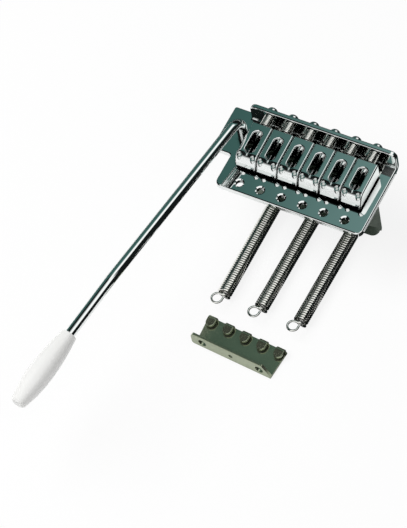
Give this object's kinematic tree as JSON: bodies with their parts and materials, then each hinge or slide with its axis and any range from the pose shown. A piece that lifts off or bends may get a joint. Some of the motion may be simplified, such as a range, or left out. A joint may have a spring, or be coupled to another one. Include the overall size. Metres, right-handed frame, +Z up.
{
  "type": "guitar tremolo bridge",
  "caption": "Tremolo bridge for an electric guitar: bent base plate with block saddles, tremolo block, bent arm with plastic tip, extension springs and spring claw.",
  "frame": {"origin": "middle of the row of six pivot holes, on the underside of the base plate", "axes": "+X along the pivot holes away from the arm, +Y from the pivot holes to the rear flange, +Z up out of the guitar"},
  "size_m": [0.1026, 0.1884, 0.0598],
  "materials": {
    "chrome": "mirror-polished chrome plating",
    "screw_steel": "bright plated steel",
    "block": "dark satin coating on cast metal",
    "spring_steel": "bright drawn spring wire",
    "claw_steel": "nickel-plated sheet steel",
    "white_plastic": "glossy white moulded plastic"
  },
  "bodies": {
    "bridge": {"base_plate": "chrome", "tremolo_block": "block", "block_screws": "screw_steel"},
    "arm": {"arm": "chrome", "arm_tip": "white_plastic"},
    "claw": {"spring_claw": "claw_steel"},
    "intonation_spring_1": {"intonation_spring_1": "spring_steel"},
    "saddle_1": {"saddle_1": "chrome"},
    "intonation_screw_1": {"intonation_screw_1": "screw_steel"},
    "height_screws_1": {"height_screws_1": "screw_steel"},
    "intonation_spring_2": {"intonation_spring_2": "spring_steel"},
    "saddle_2": {"saddle_2": "chrome"},
    "intonation_screw_2": {"intonation_screw_2": "screw_steel"},
    "height_screws_2": {"height_screws_2": "screw_steel"},
    "intonation_spring_3": {"intonation_spring_3": "spring_steel"},
    "saddle_3": {"saddle_3": "chrome"},
    "intonation_screw_3": {"intonation_screw_3": "screw_steel"},
    "height_screws_3": {"height_screws_3": "screw_steel"},
    "intonation_spring_4": {"intonation_spring_4": "spring_steel"},
    "saddle_4": {"saddle_4": "chrome"},
    "intonation_screw_4": {"intonation_screw_4": "screw_steel"},
    "height_screws_4": {"height_screws_4": "screw_steel"},
    "intonation_spring_5": {"intonation_spring_5": "spring_steel"},
    "saddle_5": {"saddle_5": "chrome"},
    "intonation_screw_5": {"intonation_screw_5": "screw_steel"},
    "height_screws_5": {"height_screws_5": "screw_steel"},
    "intonation_spring_6": {"intonation_spring_6": "spring_steel"},
    "saddle_6": {"saddle_6": "chrome"},
    "intonation_screw_6": {"intonation_screw_6": "screw_steel"},
    "height_screws_6": {"height_screws_6": "screw_steel"},
    "main_spring_1": {"main_spring_1": "spring_steel"},
    "main_spring_2": {"main_spring_2": "spring_steel"},
    "main_spring_3": {"main_spring_3": "spring_steel"}
  },
  "joints": [
    {"name": "arm_swivel", "type": "hinge", "parent": "bridge", "child": "arm", "pos_m": [-0.0362, 0.023, 0], "axis": [0, 0, 1], "range_deg": [-90, 75]},
    {"name": "claw_adjust", "type": "slide", "parent": "bridge", "child": "claw", "axis": [0.0819, 0.9966, 0], "range_m": [-0.008, 0.0025]},
    {"name": "saddle_tilt_1", "type": "hinge", "parent": "bridge", "child": "intonation_spring_1", "pos_m": [-0.02757, 0.03575, 0.0091], "axis": [-1, 0, 0], "range_deg": [-2.5, 2]},
    {"name": "intonation_turn_1", "type": "hinge", "parent": "intonation_spring_1", "child": "intonation_screw_1", "pos_m": [-0.02757, 0.03575, 0.0091], "axis": [0, -1, 0], "range_deg": [-2520, 2520]},
    {"name": "saddle_slide_1", "type": "slide", "parent": "intonation_spring_1", "child": "saddle_1", "axis": [0, 1, 0], "range_m": [-0.0035, 0.0035], "deforming": ["intonation_spring_1"]},
    {"name": "height_adjust_1", "type": "slide", "parent": "saddle_1", "child": "height_screws_1", "axis": [0, 0, 1], "range_m": [-0.001, 0.0012]},
    {"name": "saddle_tilt_2", "type": "hinge", "parent": "bridge", "child": "intonation_spring_2", "pos_m": [-0.01677, 0.03575, 0.0091], "axis": [-1, 0, 0], "range_deg": [-2.5, 2]},
    {"name": "intonation_turn_2", "type": "hinge", "parent": "intonation_spring_2", "child": "intonation_screw_2", "pos_m": [-0.01677, 0.03575, 0.0091], "axis": [0, -1, 0], "range_deg": [-2520, 2520]},
    {"name": "saddle_slide_2", "type": "slide", "parent": "intonation_spring_2", "child": "saddle_2", "axis": [0, 1, 0], "range_m": [-0.0035, 0.0035], "deforming": ["intonation_spring_2"]},
    {"name": "height_adjust_2", "type": "slide", "parent": "saddle_2", "child": "height_screws_2", "axis": [0, 0, 1], "range_m": [-0.001, 0.0012]},
    {"name": "saddle_tilt_3", "type": "hinge", "parent": "bridge", "child": "intonation_spring_3", "pos_m": [-0.00597, 0.03575, 0.0091], "axis": [-1, 0, 0], "range_deg": [-2.5, 2]},
    {"name": "intonation_turn_3", "type": "hinge", "parent": "intonation_spring_3", "child": "intonation_screw_3", "pos_m": [-0.00597, 0.03575, 0.0091], "axis": [0, -1, 0], "range_deg": [-2520, 2520]},
    {"name": "saddle_slide_3", "type": "slide", "parent": "intonation_spring_3", "child": "saddle_3", "axis": [0, 1, 0], "range_m": [-0.0035, 0.0035], "deforming": ["intonation_spring_3"]},
    {"name": "height_adjust_3", "type": "slide", "parent": "saddle_3", "child": "height_screws_3", "axis": [0, 0, 1], "range_m": [-0.001, 0.0012]},
    {"name": "saddle_tilt_4", "type": "hinge", "parent": "bridge", "child": "intonation_spring_4", "pos_m": [0.00483, 0.03575, 0.0091], "axis": [-1, 0, 0], "range_deg": [-2.5, 2]},
    {"name": "intonation_turn_4", "type": "hinge", "parent": "intonation_spring_4", "child": "intonation_screw_4", "pos_m": [0.00483, 0.03575, 0.0091], "axis": [0, -1, 0], "range_deg": [-2520, 2520]},
    {"name": "saddle_slide_4", "type": "slide", "parent": "intonation_spring_4", "child": "saddle_4", "axis": [0, 1, 0], "range_m": [-0.0035, 0.0035], "deforming": ["intonation_spring_4"]},
    {"name": "height_adjust_4", "type": "slide", "parent": "saddle_4", "child": "height_screws_4", "axis": [0, 0, 1], "range_m": [-0.001, 0.0012]},
    {"name": "saddle_tilt_5", "type": "hinge", "parent": "bridge", "child": "intonation_spring_5", "pos_m": [0.01563, 0.03575, 0.0091], "axis": [-1, 0, 0], "range_deg": [-2.5, 2]},
    {"name": "intonation_turn_5", "type": "hinge", "parent": "intonation_spring_5", "child": "intonation_screw_5", "pos_m": [0.01563, 0.03575, 0.0091], "axis": [0, -1, 0], "range_deg": [-2520, 2520]},
    {"name": "saddle_slide_5", "type": "slide", "parent": "intonation_spring_5", "child": "saddle_5", "axis": [0, 1, 0], "range_m": [-0.0035, 0.0035], "deforming": ["intonation_spring_5"]},
    {"name": "height_adjust_5", "type": "slide", "parent": "saddle_5", "child": "height_screws_5", "axis": [0, 0, 1], "range_m": [-0.001, 0.0012]},
    {"name": "saddle_tilt_6", "type": "hinge", "parent": "bridge", "child": "intonation_spring_6", "pos_m": [0.02643, 0.03575, 0.0091], "axis": [-1, 0, 0], "range_deg": [-2.5, 2]},
    {"name": "intonation_turn_6", "type": "hinge", "parent": "intonation_spring_6", "child": "intonation_screw_6", "pos_m": [0.02643, 0.03575, 0.0091], "axis": [0, -1, 0], "range_deg": [-2520, 2520]},
    {"name": "saddle_slide_6", "type": "slide", "parent": "intonation_spring_6", "child": "saddle_6", "axis": [0, 1, 0], "range_m": [-0.0035, 0.0035], "deforming": ["intonation_spring_6"]},
    {"name": "height_adjust_6", "type": "slide", "parent": "saddle_6", "child": "height_screws_6", "axis": [0, 0, 1], "range_m": [-0.001, 0.0012]},
    {"name": "spring_swing_1", "type": "hinge", "parent": "bridge", "child": "main_spring_1", "pos_m": [-0.02255, 0.0215, -0.035], "axis": [0, 0, 1], "range_deg": [-8, 8]},
    {"name": "spring_swing_2", "type": "hinge", "parent": "bridge", "child": "main_spring_2", "pos_m": [-0.00215, 0.0215, -0.035], "axis": [0, 0, 1], "range_deg": [-8, 8]},
    {"name": "spring_swing_3", "type": "hinge", "parent": "bridge", "child": "main_spring_3", "pos_m": [0.01825, 0.0215, -0.035], "axis": [0, 0, 1], "range_deg": [-8, 8]}
  ],
  "couplings": [
    {"joint": "intonation_turn_1", "follows": "saddle_slide_1", "rad_per_m": 12566},
    {"joint": "height_adjust_1", "follows": "saddle_tilt_1", "m_per_rad": -0.02585},
    {"joint": "intonation_turn_2", "follows": "saddle_slide_2", "rad_per_m": 12566},
    {"joint": "height_adjust_2", "follows": "saddle_tilt_2", "m_per_rad": -0.02585},
    {"joint": "intonation_turn_3", "follows": "saddle_slide_3", "rad_per_m": 12566},
    {"joint": "height_adjust_3", "follows": "saddle_tilt_3", "m_per_rad": -0.02585},
    {"joint": "intonation_turn_4", "follows": "saddle_slide_4", "rad_per_m": 12566},
    {"joint": "height_adjust_4", "follows": "saddle_tilt_4", "m_per_rad": -0.02585},
    {"joint": "intonation_turn_5", "follows": "saddle_slide_5", "rad_per_m": 12566},
    {"joint": "height_adjust_5", "follows": "saddle_tilt_5", "m_per_rad": -0.02585},
    {"joint": "intonation_turn_6", "follows": "saddle_slide_6", "rad_per_m": 12566},
    {"joint": "height_adjust_6", "follows": "saddle_tilt_6", "m_per_rad": -0.02585}
  ]
}
